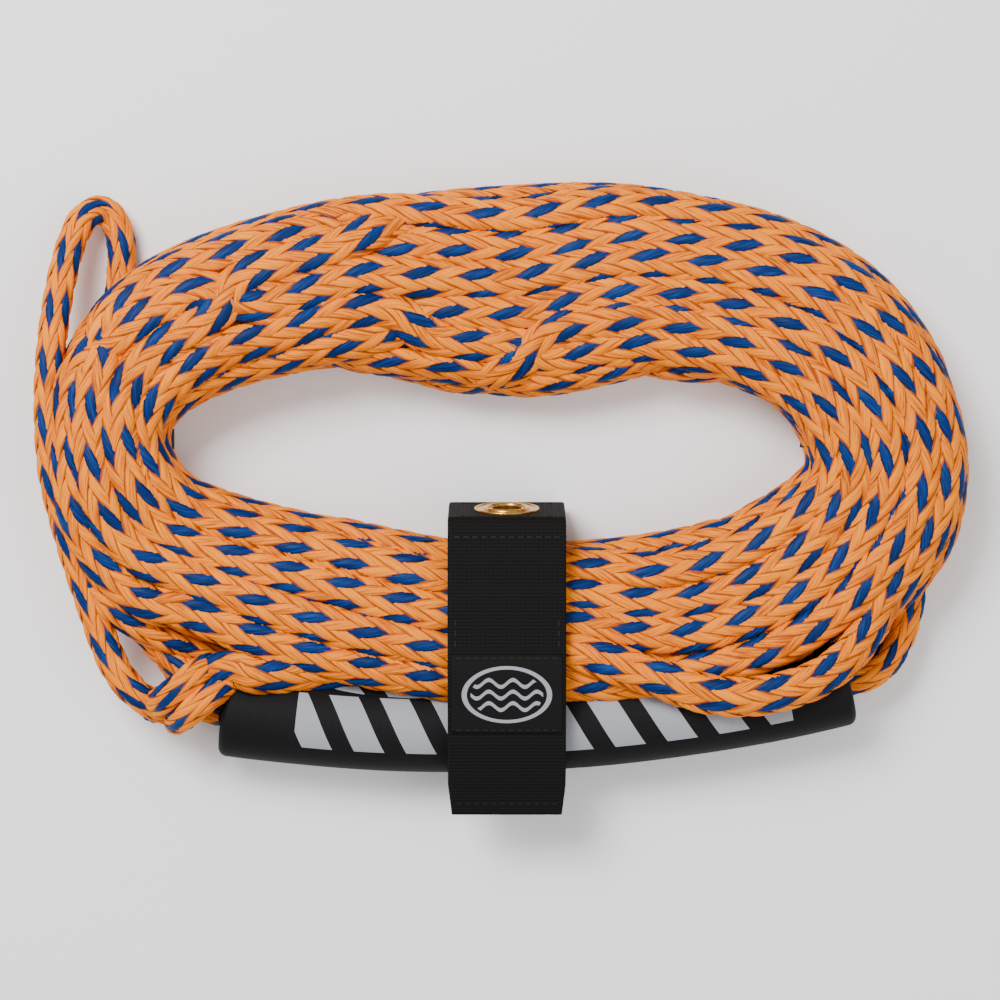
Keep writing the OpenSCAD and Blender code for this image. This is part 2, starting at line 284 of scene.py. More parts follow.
# a hollow braid of sixteen yarns round a line. wide and thick are half sizes along the line
def braid(name, line, normals, wide, thick, drift=0.0, seed=0):
    given = np.stack([wide, thick], 1)
    (p, m, size), length = evenly(line, braidSet["step"], normals, given)
    t = unit(np.gradient(p, axis=0))
    m = unit(m - t * np.sum(m * t, 1, keepdims=True))
    q = np.cross(m, t)
    z = np.linspace(0, length, len(p))
    flatWide, flatThick, inset = braidSet["flatWide"], braidSet["flatThick"], braidSet["yarnInset"]
    flat = outline(braidSet["power"], flatWide, flatThick)
    turned = drift * z + seed
    lift, crown, lead = braidSet["lift"], braidSet["crown"], braidSet["lead"]

    def place(f, off):
        f = f % 1
        x = np.interp(f, flat[0], flat[1]) / flatWide * (size[:, :1] - inset)
        y = np.interp(f, flat[0], flat[2]) / flatThick * (size[:, 1:] - inset)
        nx = np.interp(f, flat[0], flat[3])
        ny = np.interp(f, flat[0], flat[4])
        spots = p[:, None] + q[:, None] * (x + nx * off)[..., None]
        spots = spots + m[:, None] * (y + ny * off)[..., None]
        # soft rope presses flat where it lies on the floor
        spots[..., 2] = np.maximum(spots[..., 2], braidSet["floor"])
        return spots

    cols = braidSet["across"] + 1
    v = np.linspace(-0.5, 0.5, cols)
    share = braidSet["yarnWide"] / math.cos(math.radians(22.5)) / flat[5]
    rows = len(p)
    i = np.arange(rows - 1)[:, None] * cols
    j = np.arange(cols - 1)[None]
    quads = np.stack([i + j, i + j + 1, i + j + cols + 1, i + j + cols], -1).reshape(-1, 4)
    sets = {"blue": [(-1, n) for n in (0, 2, 4, 6)], "orangeA": [(-1, n) for n in (1, 3, 5, 7)],
            "orangeB": [(1, n) for n in (0, 1, 2, 3)], "orangeC": [(1, n) for n in (4, 5, 6, 7)]}
    pieces = []
    for label, yarns in sets.items():
        verts, faces, uvs = [], [], []
        for turn, number in yarns:
            f = turn * (z[:, None] / lead + number / 8) + v[None] * share
            middle = turn * (z[:, None] / lead + number / 8) + braidSet["tuck"] * v[None] * share
            wave = np.cos(8 * math.pi * middle - math.pi / 4)
            up = np.tanh(braidSet["press"] * wave) / math.tanh(braidSet["press"])
            off = -turn * lift * up + crown * (1 - (2 * v[None]) ** 2)
            faces.append(quads[:, ::-1] + len(verts) * rows * cols)
            verts.append(place(f + turned[:, None], off).reshape(-1, 3))
            u = number + 8 * (turn > 0) + 0.05 + 0.9 * (v[None] + 0.5) + 0 * z[:, None]
            uvs.append(np.stack([u, z[:, None] / 0.1 + 0 * u], -1).reshape(-1, 2))
        material = blueYarn if label == "blue" else orangeYarn
        pieces.append(meshPiece(name + "_" + label, np.concatenate(verts), np.concatenate(faces),
                                np.concatenate(uvs), material))
    # a plain tube under the yarns, closed at both ends, its dark colour painted shade for the gaps between
    # yarns
    (cp, cm, csize), _ = evenly(line, braidSet["coreStep"], normals, given)
    ct = unit(np.gradient(cp, axis=0))
    cm = unit(cm - ct * np.sum(cm * ct, 1, keepdims=True))
    cq = np.cross(cm, ct)
    sides = braidSet["coreSides"]
    f = np.arange(sides) / sides
    x = np.interp(f, flat[0], flat[1]) / flatWide
    y = np.interp(f, flat[0], flat[2]) / flatThick
    inner = csize - braidSet["coreInset"]
    ring = cp[:, None] + cq[:, None] * (x * inner[:, :1])[..., None]
    ring = ring + cm[:, None] * (y * inner[:, 1:])[..., None]
    n = len(cp)
    a = np.arange(n - 1)[:, None] * sides + np.arange(sides)[None]
    b = np.arange(n - 1)[:, None] * sides + (np.arange(sides)[None] + 1) % sides
    quads = np.stack([a, b, b + sides, a + sides], -1).reshape(-1, 4)
    aroundCore = np.tile(f * 16, n)
    alongCore = np.repeat(np.linspace(0, length, n) / 0.1, sides)
    core = meshPiece(name, ring.reshape(-1, 3), quads, np.stack([aroundCore, alongCore], -1), coreYarn)
    shut = bmesh.new()
    shut.from_mesh(core.data)
    bmesh.ops.holes_fill(shut, edges=[e for e in shut.edges if e.is_boundary], sides=0)
    bmesh.ops.recalc_face_normals(shut, faces=shut.faces)
    shut.to_mesh(core.data)
    shut.free()
    return core, pieces, length, cp


# the coil's turns, in millimetres
coilSet = {"turns": 22, "stations": 96, "rounds": 220, "apart": 16.6, "stacked": 7.9, "edge": 4.8,
           "proud": 2.2, "power": 2.6, "slope": 1.6, "floor": 2.2, "tall": 25, "turnArea": 122, "fill": 3.4}
gripSet = {"radius": 18.5, "bore": 12.75, "length": 270, "height": 20.6, "turn": 2.8, "edge": 3.5,
           "rings": 90, "sides": 72, "centre": (-34.195, 669.164), "bend": 700.0, "ropeOff": 23.0}
bundle = [[-162, 45, 36], [-184, 94, 26], [-160, 137, 32], [-95, 159, 36], [-16, 157, 45.5], [49, 161, 41],
          [118, 141, 36], [149, 94, 34], [137, 52, 37], [78, 18, 40], [-12, 13, 36], [-89, 22, 37]]
leftLeg = [[-135, -23.6, 20.6], [-142, -22, 18.5], [-149, -16, 13.5], [-155, -7, 9], [-161, 3, 7],
           [-167, 14, 6.8], [-172, 28, 6.8], [-174, 40, 6.9]]
rightLeg = [[134, -10.4, 20.6], [138, -9.5, 20.5], [143, -7.6, 20], [148, -4.5, 19], [152, 0, 18],
            [155.5, 6, 17], [158.5, 13, 16], [160.5, 20, 15], [162, 28, 14], [163, 36, 13],
            [163.5, 44, 12], [163.5, 52, 11.4], [163, 60, 11], [162, 72, 11], [160, 86, 11], [157, 100, 11]]
eyeRoute = [[-152, -20, 28], [-158, -22.5, 28], [-165, -19.5, 28], [-173, -14, 28], [-180, -5, 28],
            [-185.5, 7, 28], [-192, 27, 31], [-200, 53, 34], [-206, 78, 36], [-208, 102, 36], [-208, 124, 33],
            [-206, 150, 27], [-202, 174, 19], [-196, 190, 12], [-187, 193, 8], [-181, 182, 7],
            [-181, 162, 6.8], [-186, 134, 6.8], [-191, 104, 6.8], [-193, 76, 6.8], [-190, 54, 7.2],
            [-184, 34, 9], [-176, 20, 13], [-166, 8, 19], [-156, -1, 23], [-148, -8, 26]]
exitRoute = [[-118, -7, 38], [-127, -4, 38], [-135, -5, 36], [-142, -9, 33], [-148, -13, 31]]
# the top turn's front stretch, which crosses low over the grip
frontRoute = [[150, 28, 34], [139, 8, 38], [124, -6, 43], [106, -13, 45.5], [86, -16, 46], [68, -13.5, 45.5],
              [50, -7, 44], [30, -1, 43], [14, 6, 42]]
gripCentre = np.array(gripSet["centre"])
gripBend = gripSet["bend"]


def stationsOfBundle():
    line = curveThrough(bundle, 24, closed=True)
    line = np.concatenate([line, line[:1]])
    (even,), length = evenly(line, 1.0)
    run = np.concatenate([[0], np.cumsum(np.linalg.norm(np.diff(even[:, :2], axis=0), axis=1))])
    at = np.arange(coilSet["stations"]) / coilSet["stations"] * run[-1]
    mid = np.stack([np.interp(at, run, c) for c in even.T], 1)
    along = unit(np.roll(mid[:, :2], -1, 0) - np.roll(mid[:, :2], 1, 0))
    side = np.stack([-along[:, 1], along[:, 0]], 1)
    area = coilSet["turns"] * coilSet["turnArea"]
    tall = np.minimum(coilSet["tall"], area / coilSet["fill"] / mid[:, 2])
    return mid, along, side, tall, run[-1]


mid, alongBundle, sideOfBundle, tall, turnLength = stationsOfBundle()
wideOfBundle = mid[:, 2]


def lanePoint(f, inset, w, h):
    c, s = np.cos(2 * math.pi * f), np.sin(2 * math.pi * f)
    power = 2 / coilSet["power"]
    return np.stack([np.sign(c) * np.abs(c) ** power * (w - inset),
                     coilSet["floor"] + h + np.sign(s) * np.abs(s) ** power * (h - inset)], -1)


# each lane is its place round the section and how deep it lies, in the order the turns fill them
lanes = [(.79, 4.3), (.71, 4.3), (.62, 4.3), (.87, 4.3), (.75, 20), (.5, 20), (.0, 20), (.25, 20),
         (.81, 12.4), (.69, 12.4), (.5, 12.4), (.94, 12.4), (.06, 12.4), (.31, 12.4), (.19, 12.4),
         (.54, 4.3), (.35, 4.3), (.45, 4.3), (.25, 4.3), (.95, 4.3), (.05, 4.3), (.15, 4.3), (.06, 4.3)]


# lays every turn in its lane, then lets the turns push each other apart inside the bundle's outline
def packTurns():
    turns, n = coilSet["turns"], coilSet["stations"]
    power, slope = coilSet["power"], coilSet["slope"]
    rng = np.random.default_rng(4)
    u = (np.arange(n) + 0.5) / n
    place = np.zeros((turns, n, 2))
    for k in range(turns):
        f0, i0 = lanes[k]
        f1, i1 = lanes[k + 1]
        move = 0.92 - 0.84 * (k + 0.5) / turns
        jump = abs((f1 - f0 + 0.5) % 1 - 0.5) + abs(i1 - i0) / 60
        span = min(0.16 + 0.6 * jump, 2 * move - 0.02, 1.98 - 2 * move)
        w = smooth((u - move) / span + 0.5)
        twist = 0.045 * np.sin(2 * math.pi * u + 0.7) + 0.02 * np.sin(4 * math.pi * u + 2)
        if i0 < 5 and i1 < 5:
            df = (f1 - f0 + 0.5) % 1 - 0.5
            f = f0 + df * w
            bump = 4 * w * (1 - w) * (2.5 if abs(df) > 0.1 else 0.5)
            place[k] = lanePoint(f + twist, i0 - bump, wideOfBundle, tall)
        else:
            a = lanePoint(f0 + twist, i0, wideOfBundle, tall)
            b = lanePoint(f1 + twist, i1, wideOfBundle, tall)
            place[k] = a + (b - a) * w[:, None]
    line = place.reshape(-1, 2)
    knots = np.linspace(0, len(line), 150)
    for c in range(2):
        line[:, c] += np.interp(np.arange(len(line)), knots, rng.normal(0, (1.6, 0.8)[c], 150))
    a2, b2 = coilSet["apart"] ** -2.0, coilSet["stacked"] ** -2.0
    legs = [(np.array(leftLeg), 9.5), (np.array(rightLeg), 9.5), (np.array(eyeRoute)[4:24], 9.5),
            (np.array(frontRoute), 0)]
    blocks = []
    for points, gap in legs:
        dense = curveThrough(points, 12)
        rel = dense[None, :, :2] - mid[:, None, :2]
        ahead = np.einsum("nkc,nc->nk", rel, alongBundle)
        out = np.einsum("nkc,nc->nk", rel, sideOfBundle)
        near = np.where(np.abs(out) < 60, np.abs(ahead), 1e9)
        pick = near.argmin(1)
        rows = np.arange(n)
        on = near[rows, pick] < 6
        blocks.append((on, np.stack([out[rows, pick], dense[pick, 2]], 1), gap))
    front = blocks.pop()
    middle = np.stack([0 * tall, coilSet["floor"] + tall], 1)
    for r in range(coilSet["rounds"]):
        place = line.reshape(turns, n, 2)
        rel = place - middle
        gx = np.sign(rel[..., 0]) * (np.abs(rel[..., 0]) / wideOfBundle) ** slope / wideOfBundle
        gy = np.sign(rel[..., 1]) * (np.abs(rel[..., 1]) / tall) ** slope / tall + 0.004
        size = np.hypot(gx, gy)
        nx, ny = gx / size, gy / size
        # the pair's own measure of distance, wide along the flat and short across it
        gxx = a2 * ny ** 2 + b2 * nx ** 2
        gyy = a2 * nx ** 2 + b2 * ny ** 2
        gxy = (b2 - a2) * nx * ny
        dx = place[:, None, :, 0] - place[None, :, :, 0]
        dy = place[:, None, :, 1] - place[None, :, :, 1]
        e = 0.5 * ((gxx[:, None] + gxx[None]) * dx ** 2 + (gyy[:, None] + gyy[None]) * dy ** 2) \
            + (gxy[:, None] + gxy[None]) * dx * dy
        push = np.where(e < 1, 1 / np.sqrt(np.maximum(e, 0.02)) - 1, 0) * 0.22
        push[np.arange(turns), np.arange(turns)] = 0
        place = place + np.stack([(push * dx).sum(1), (push * dy).sum(1)], -1)
        for on, centre, gap in blocks:
            d = place - centre
            far = np.maximum(np.linalg.norm(d, axis=-1), 1)
            short = np.where((far < gap) & on[None], (gap - far) / far, 0)
            place = place + d * short[..., None] * 0.6
        place[-1][front[0]] += 0.8 * (front[1] - place[-1])[front[0]]
        # stay in the bundle's outline, then off the grip
        rel = place - middle
        over = ((np.abs(rel[..., 0]) / (wideOfBundle - coilSet["edge"])) ** power
                + (np.abs(rel[..., 1]) / (tall - coilSet["edge"])) ** power) ** (1 / power)
        rel = rel / np.maximum(over, 1)[..., None]
        inside = rel + middle
        inside[-1][front[0]] = place[-1][front[0]]
        place = inside
        flat = mid[:, :2] + sideOfBundle * place[..., :1]
        ray = flat - gripCentre
        out = np.linalg.norm(ray, axis=-1) - gripBend
        rise = place[..., 1] - gripSet["height"]
        gap = np.hypot(out, rise)
        want = gripSet["ropeOff"]
        under = (out > 0) & (rise < 0)
        goalOut = np.where(under, -want, out / np.maximum(gap, 1) * want)
        goalRise = np.where(under, rise, rise / np.maximum(gap, 1) * want)
        byGrip = (gap < want) & (np.abs(mid[:, 0] + 1) < 138) & (mid[:, 1] < 60)
        byGrip[-1] &= ~front[0]
        facing = np.einsum("knc,nc->kn", unit(ray), sideOfBundle)
        place[..., 0] += np.where(byGrip, (goalOut - out) * facing, 0)
        place[..., 1] += np.where(byGrip, goalRise - rise, 0)
        line = place.reshape(-1, 2).copy()
        ease = 0.30 if r < coilSet["rounds"] - 30 else 0.42
        line[1:-1] += ease * (0.5 * (line[:-2] + line[2:]) - line[1:-1])
    return line, (nx, ny), e


packed, facing, closeness = packTurns()
np.einsum("iij->ij", closeness)[:] = 9
print("turns packed, closest", round(float(np.sqrt(closeness.min())), 2),
      "share close", round(float((closeness < 0.5).mean()), 3), "one turn", round(turnLength))


# the tow line from the grip, round all the turns and out to the knot, with its flat's normals
def mainLine():
    turns, n = coilSet["turns"], coilSet["stations"]
    station = np.tile(np.arange(n), turns)
    xy = mid[station, :2] + sideOfBundle[station] * packed[:, :1]
    coil = np.concatenate([xy, packed[:, 1:]], 1)
    nx, ny = facing[0].reshape(-1), facing[1].reshape(-1)
    normal = np.concatenate([sideOfBundle[station] * nx[:, None], ny[:, None]], 1)
    first, final = 4, len(coil) - 10
    coil, normal = coil[first:final], normal[first:final]
    points = np.concatenate([leftLeg, coil, exitRoute])
    up = np.array([[0, 0, 1.0]])
    normal = np.concatenate([np.repeat(up, len(leftLeg), 0), normal, np.repeat(up, len(exitRoute), 0)])
    for _ in range(6):
        normal[1:-1] = unit(normal[:-2] + 2 * normal[1:-1] + normal[2:])
    rng = np.random.default_rng(11)
    proud = np.interp(np.arange(len(points)), np.linspace(0, len(points), 210), rng.uniform(-1, 1, 210))
    proud = np.convolve(proud, np.hanning(15) / np.hanning(15).sum(), "same")
    proud[: len(leftLeg) + 8] = 0
    proud[-(len(exitRoute) + 8):] = 0
    points = points + normal * (coilSet["proud"] * proud)[:, None] * (points[:, 2:] > 26)
    flat = np.concatenate([np.linspace(0, 0.6, len(leftLeg)), np.ones(len(coil)),
                           np.linspace(0.9, 0.5, len(exitRoute))])
    flat = smooth(flat)
    dense = curveThrough(points, 4) * mm
    at = np.arange(len(dense)) / 4
    where = np.arange(len(points))
    normal = np.stack([np.interp(at, where, c) for c in normal.T], 1)
    flat = np.interp(at, where, flat)
    return dense, normal, 0.0066 + (0.0089 - 0.0066) * flat, 0.0063 + (0.0055 - 0.0063) * flat


line, normals, wide, thick = mainLine()
ropeMain, mainYarns, mainLength, mainPath = braid("ropeMain", line, normals, wide, thick,
                                                  drift=0.16, seed=0.03)
mainPath = mainPath if len(mainPath) < 4000 else mainPath[:: len(mainPath) // 3900 + 1]
print("main line", round(mainLength, 2), "m")


def plainRope(name, route, wide, thick, seed):
    dense = curveThrough(route, 8) * mm
    up = np.repeat([[0.0, 0.0, 1.0]], len(dense), 0)
    size = np.ones(len(dense))
    return braid(name, dense, up, wide * size, thick * size, drift=0.2, seed=seed)


ropeEye, eyeYarns, eyeLength, eyePath = plainRope("ropeEye", eyeRoute, 0.0066, 0.0058, 0.1)
ropeRight, rightYarns, rightLength, rightPath = plainRope("ropeRight", rightLeg, 0.0066, 0.0060, 0.2)
print("eye", round(eyeLength, 3), "right leg", round(rightLength, 3))


# the rope's end, wrapped round the eye's legs
knotSet = {"centre": (-147, -15.5, 29), "axis": (-0.73, 0.68), "wide": 13.0, "tall": 12.5, "spread": 9.5,
           "from": -60, "to": 560, "points": 30, "tail": 11}


def knotRoute():
    centre = np.array(knotSet["centre"])
    axis = np.array([*knotSet["axis"], 0.0])
    over = np.array([-axis[1], axis[0], 0.0]) * -1
    a = np.radians(np.linspace(knotSet["from"], knotSet["to"], knotSet["points"]))
    s = np.linspace(-1, 1, knotSet["points"]) * knotSet["spread"]
    route = centre + axis * s[:, None] + over * knotSet["wide"] * np.cos(a)[:, None]
    route[:, 2] += knotSet["tall"] * np.sin(a)
    # the cut end sticks out past the last wrap
    final = route[-1] - over * knotSet["tail"] * 0.7 + np.array([0, 0, -knotSet["tail"] * 0.5])
    return np.vstack([route, final])


ropeKnot, knotYarns, *_ = plainRope("ropeKnot", knotRoute(), 0.0064, 0.0056, 0.15)


tieSet = {"wide": 9.0, "thick": 1.0, "sides": 72, "square": 0.8, "height": 19.5, "edge": 0.25,
          "left": {"at": (-184, 94), "half": (27.2, 16), "turn": 0},
          "right": {"at": (149, 90), "half": (35.0, 15), "turn": -8}, "order": Vector((1, 0.3719, 0.1373))}


def tie(name, given):
    # an outline squared off a little, drawn out into a band, then given its thickness and soft edges
    band = bmesh.new()
    across, up = (half + tieSet["thick"] / 2 for half in given["half"])
    bmesh.ops.create_circle(band, segments=tieSet["sides"], radius=1)
    for vert in band.verts:
        x = math.copysign(abs(vert.co.x) ** tieSet["square"], vert.co.x)
        z = math.copysign(abs(vert.co.y) ** tieSet["square"], vert.co.y)
        vert.co = (across * x, -tieSet["wide"] / 2, up * z)
    drawn = bmesh.ops.extrude_edge_only(band, edges=band.edges[:])["geom"]
    farSide = [v for v in drawn if isinstance(v, bmesh.types.BMVert)]
    bmesh.ops.translate(band, verts=farSide, vec=(0, tieSet["wide"], 0))
    bmesh.ops.recalc_face_normals(band, faces=band.faces)
    bmesh.ops.solidify(band, geom=band.faces[:], thickness=tieSet["thick"])
    bmesh.ops.recalc_face_normals(band, faces=band.faces)
    rims = [e for e in band.edges if len(e.link_faces) == 2 and e.calc_face_angle() > 1]
    bmesh.ops.bevel(band, geom=rims, offset=tieSet["edge"], offset_type="OFFSET", segments=2, profile=0.5,
                    affect="EDGES", material=-1)
    turn = Matrix.Rotation(math.radians(given["turn"]), 3, "Z")
    bmesh.ops.rotate(band, verts=band.verts, cent=(0, 0, 0), matrix=turn)
    bmesh.ops.translate(band, verts=band.verts, vec=(*given["at"], tieSet["height"]))
    bmesh.ops.scale(band, verts=band.verts, vec=(mm, mm, mm))
    # these operators leave their order to chance, so the order is set here
    band.verts.sort(key=lambda v: v.co.dot(tieSet["order"]))
    band.edges.sort(key=lambda e: (e.verts[0].co + e.verts[1].co).dot(tieSet["order"]))
    band.faces.sort(key=lambda f: f.calc_center_median().dot(tieSet["order"]))
    mesh = bpy.data.meshes.new(name)
    band.to_mesh(mesh)
    band.free()
    mesh.uv_layers.new(name="UVMap")
    mesh.polygons.foreach_set("use_smooth", [True] * len(mesh.polygons))
    mesh.materials.append(tieLook)
    piece = bpy.data.objects.new(name, mesh)
    bpy.context.scene.collection.objects.link(piece)
    return piece


# a material whose colour and bump follow one shared effect
def texturedMaterial(name, colour, other, roughness, effect, bumpDepth, metal=0.0, specular=0.08, **sizes):
    material = bpy.data.materials.new(name)
    material.use_nodes = True
    tree = material.node_tree
    surface = tree.nodes["Principled BSDF"]
    pattern = tree.nodes.new("ShaderNodeGroup")
    pattern.node_tree = effect
    for key, value in sizes.items():
        pattern.inputs[key].default_value = value
    mix = node(tree, "ShaderNodeMix", data_type="RGBA")
    mix.inputs[6].default_value = (*colour, 1)
    mix.inputs[7].default_value = (*other, 1)
    tree.links.new(pattern.outputs["Shade"], mix.inputs[0])
    tree.links.new(mix.outputs[2], surface.inputs["Base Color"])
    bump = node(tree, "ShaderNodeBump", Strength=0.7, Distance=bumpDepth)
    tree.links.new(pattern.outputs["Height"], bump.inputs["Height"])
    tree.links.new(bump.outputs["Normal"], surface.inputs["Normal"])
    surface.inputs["Roughness"].default_value = roughness
    surface.inputs["Metallic"].default_value = metal
    surface.inputs["Specular IOR Level"].default_value = specular
    return material


# fine even grain in the piece's own space, in millimetres
def grainGroup():
    tree, start, end = group("grain", [("Size", "NodeSocketFloat", 1.0), ("Stretch", "NodeSocketFloat", 1.0)],
                             [("Shade", "NodeSocketFloat"), ("Height", "NodeSocketFloat")])
    link = tree.links.new
    space = node(tree, "ShaderNodeTexCoord")
    scale = node(tree, "ShaderNodeVectorMath", operation="SCALE")
    link(space.outputs["Object"], scale.inputs[0])
    per = node(tree, "ShaderNodeMath", operation="DIVIDE")
    per.inputs[0].default_value = 1000.0
    link(start.outputs["Size"], per.inputs[1])
    link(per.outputs[0], scale.inputs["Scale"])
    stretch = node(tree, "ShaderNodeCombineXYZ")
    stretch.inputs[1].default_value = 1.0
    stretch.inputs[2].default_value = 1.0
    link(start.outputs["Stretch"], stretch.inputs[0])
    pulled = node(tree, "ShaderNodeVectorMath", operation="MULTIPLY")
    link(scale.outputs[0], pulled.inputs[0])
    link(stretch.outputs[0], pulled.inputs[1])
    noise = node(tree, "ShaderNodeTexNoise", Scale=1.0, Detail=4.0)
    link(pulled.outputs[0], noise.inputs["Vector"])
    link(noise.outputs["Fac"], end.inputs["Shade"])
    link(noise.outputs["Fac"], end.inputs["Height"])
    return tree


# woven ribs, U is millimetres across and V millimetres along
def waveGroup(name, acrossSize, alongSize):
    tree, start, end = group(name,
                             [("Across", "NodeSocketFloat", acrossSize),
                              ("Along", "NodeSocketFloat", alongSize)],
                             [("Shade", "NodeSocketFloat"), ("Height", "NodeSocketFloat")])
    uv = pieceUv(tree)
    ribs = []
    for index, size in enumerate(("Across", "Along")):
        turns = calc(tree, "DIVIDE", uv[index], start.outputs[size])
        ribs.append(calc(tree, "SINE", calc(tree, "MULTIPLY", turns, 2 * math.pi)))
    total = calc(tree, "MULTIPLY_ADD", ribs[1], 0.6, calc(tree, "MULTIPLY", *ribs))
    level = calc(tree, "MULTIPLY_ADD", total, 0.31, 0.5, clamp=True)
    tree.links.new(level, end.inputs["Shade"])
    tree.links.new(level, end.inputs["Height"])
    return tree


grain = grainGroup()
weave = waveGroup("weave", 1.9, 1.5)
tieLook = texturedMaterial("tieLook", (0.004, 0.004, 0.004), (0.012, 0.012, 0.012), 0.6,
                           grain, 0.0001, Size=0.8)
foamLook = texturedMaterial("foamLook", (0.004, 0.004, 0.0045), (0.010, 0.010, 0.011), 0.62,
                            grain, 0.00012, Size=0.9)
webLook = texturedMaterial("webLook", (0.002, 0.002, 0.002), (0.010, 0.009, 0.009), 0.75, weave, 0.0005)
hookLook = texturedMaterial("hookLook", (0.003, 0.003, 0.003), (0.016, 0.016, 0.017), 0.6,
                            weave, 0.0006, Across=0.9, Along=1.1)
loopLook = texturedMaterial("loopLook", (0.005, 0.005, 0.005), (0.016, 0.016, 0.017), 0.95,
                            grain, 0.0006, Size=0.4)
threadLook = texturedMaterial("threadLook", (0.006, 0.006, 0.006), (0.02, 0.02, 0.02), 0.55,
                              grain, 0.0001, Size=0.3)
tubeLook = texturedMaterial("tubeLook", (0.55, 0.56, 0.58), (0.7, 0.71, 0.73), 0.32,
                            grain, 0.00003, metal=1.0, specular=0.5, Size=3.0, Stretch=0.1)
plugLook = texturedMaterial("plugLook", (0.008, 0.008, 0.008), (0.014, 0.014, 0.014), 0.45,
                            grain, 0.00005, Size=0.5)
brassLook = texturedMaterial("brassLook", (0.50, 0.27, 0.06), (0.66, 0.40, 0.11), 0.27,
                             grain, 0.00004, metal=1.0, specular=0.5, Size=1.5)
tieLeft = tie("tieLeft", tieSet["left"])
tieRight = tie("tieRight", tieSet["right"])
print("knot and ties made")


# the foam's outline turned round its bowed middle line, with soft ends and an open bore
def foamGrip():
    half = gripSet["length"] / 2
    e, r = gripSet["edge"], gripSet["radius"]
    outer = np.linspace(-half + e, half - e, gripSet["rings"])
    corner = np.radians(np.linspace(90, 0, 7))[1:]
    right = [(half - e + e * math.cos(a), r - e + e * math.sin(a)) for a in corner]
    inner = [(half, gripSet["bore"] + 0.8), (half - 0.8, gripSet["bore"])]
    profile = [(s, r) for s in outer] + right + inner
    profile += [(-s, q) for s, q in reversed(right + inner)]
    profile = np.array(profile)
    a = np.linspace(0, 2 * math.pi, gripSet["sides"], endpoint=False)
    s = profile[:, :1]
    radius = profile[:, 1:]
    soft = 0.18 * np.sin(s / 23 + 1.3) * np.sin(a * 2 + s / 31) * (radius > 15)
    turn = s / gripBend + math.radians(gripSet["turn"] - 90)
    out = gripBend + (radius + soft) * np.cos(a)
    x = gripCentre[0] + out * np.cos(turn)
    y = gripCentre[1] + out * np.sin(turn)
    z = gripSet["height"] + (radius + soft) * np.sin(a)
    n, m = len(profile), len(a)
    i, j = np.meshgrid(np.arange(n), np.arange(m), indexing="ij")
    k, l = (i + 1) % n, (j + 1) % m
    faces = np.stack([i * m + j, i * m + l, k * m + l, k * m + j], -1).reshape(-1, 4)
    uvs = np.stack([np.repeat(profile[:, 0], m), np.tile(np.degrees((a + math.pi) % (2 * math.pi)), n)], -1)
    piece = meshPiece("gripFoam", np.stack([x, y, z], -1).reshape(-1, 3) * mm, faces, uvs, foamLook)
    shape = bmesh.new()
    shape.from_mesh(piece.data)
    bmesh.ops.recalc_face_normals(shape, faces=shape.faces)
    shape.to_mesh(piece.data)
    shape.free()
    return piece


# pale slanted bars along the grip: along and round are where they start and stop, in mm and degrees
printSet = {"slant": 0.16, "pitch": 11.0, "gap": 4.6, "along": (-103, 108), "round": (238, 316),
            "colour": (0.30, 0.31, 0.34)}


def addPrint(material):
    tree = material.node_tree
    uv = pieceUv(tree)
    slanted = calc(tree, "MULTIPLY_ADD", uv[1], printSet["slant"], uv[0])
    mask = calc(tree, "GREATER_THAN", calc(tree, "PINGPONG", slanted, printSet["pitch"]), printSet["gap"])
    for index, (low, high) in enumerate((printSet["along"], printSet["round"])):
        mask = calc(tree, "MULTIPLY", mask, calc(tree, "GREATER_THAN", uv[index], low))
        mask = calc(tree, "MULTIPLY", mask, calc(tree, "LESS_THAN", uv[index], high))
    paintOver(material, mask, printSet["colour"])


addPrint(foamLook)
gripFoam = foamGrip()
print("grip made")


# the strap, as places in its side view
strapSet = {"x": -38.0, "wide": 50, "thick": 1.8, "step": 1.6, "cols": 34, "edge": 0.9}
footMiddle, footRound, faceTilt, faceLength = (57.6, 9.4), 8.5, math.radians(10), 37.2
wrapRound = 20.9
wrapMiddle = (-30, 21.8)
wrapEnd, wrapRise = (22, 47.4), (-4, 47.4)
faceFoot = (footMiddle[0] + footRound * math.cos(faceTilt), footMiddle[1] + footRound * math.sin(faceTilt))
faceTop = (faceFoot[0] - faceLength * math.sin(faceTilt), faceFoot[1] + faceLength * math.cos(faceTilt))
flapPath = [(58, 49.8), (45, 50.9), (22, 51.7), (-4.8, 51.7), (-34.6, 46.3), (-48, 42), (-66, 35)]


def arc(middle, radius, start, stop, step):
    angles = np.radians(np.arange(start, stop + math.copysign(0.1, step), step))
    return [(middle[0] + radius * math.cos(a), middle[1] + radius * math.sin(a)) for a in angles]


wrapPath = [faceTop] + arc(footMiddle, footRound, 10, -90, -10) + arc(wrapMiddle, wrapRound, 270, 101, -8) \
    + [wrapRise, wrapEnd]


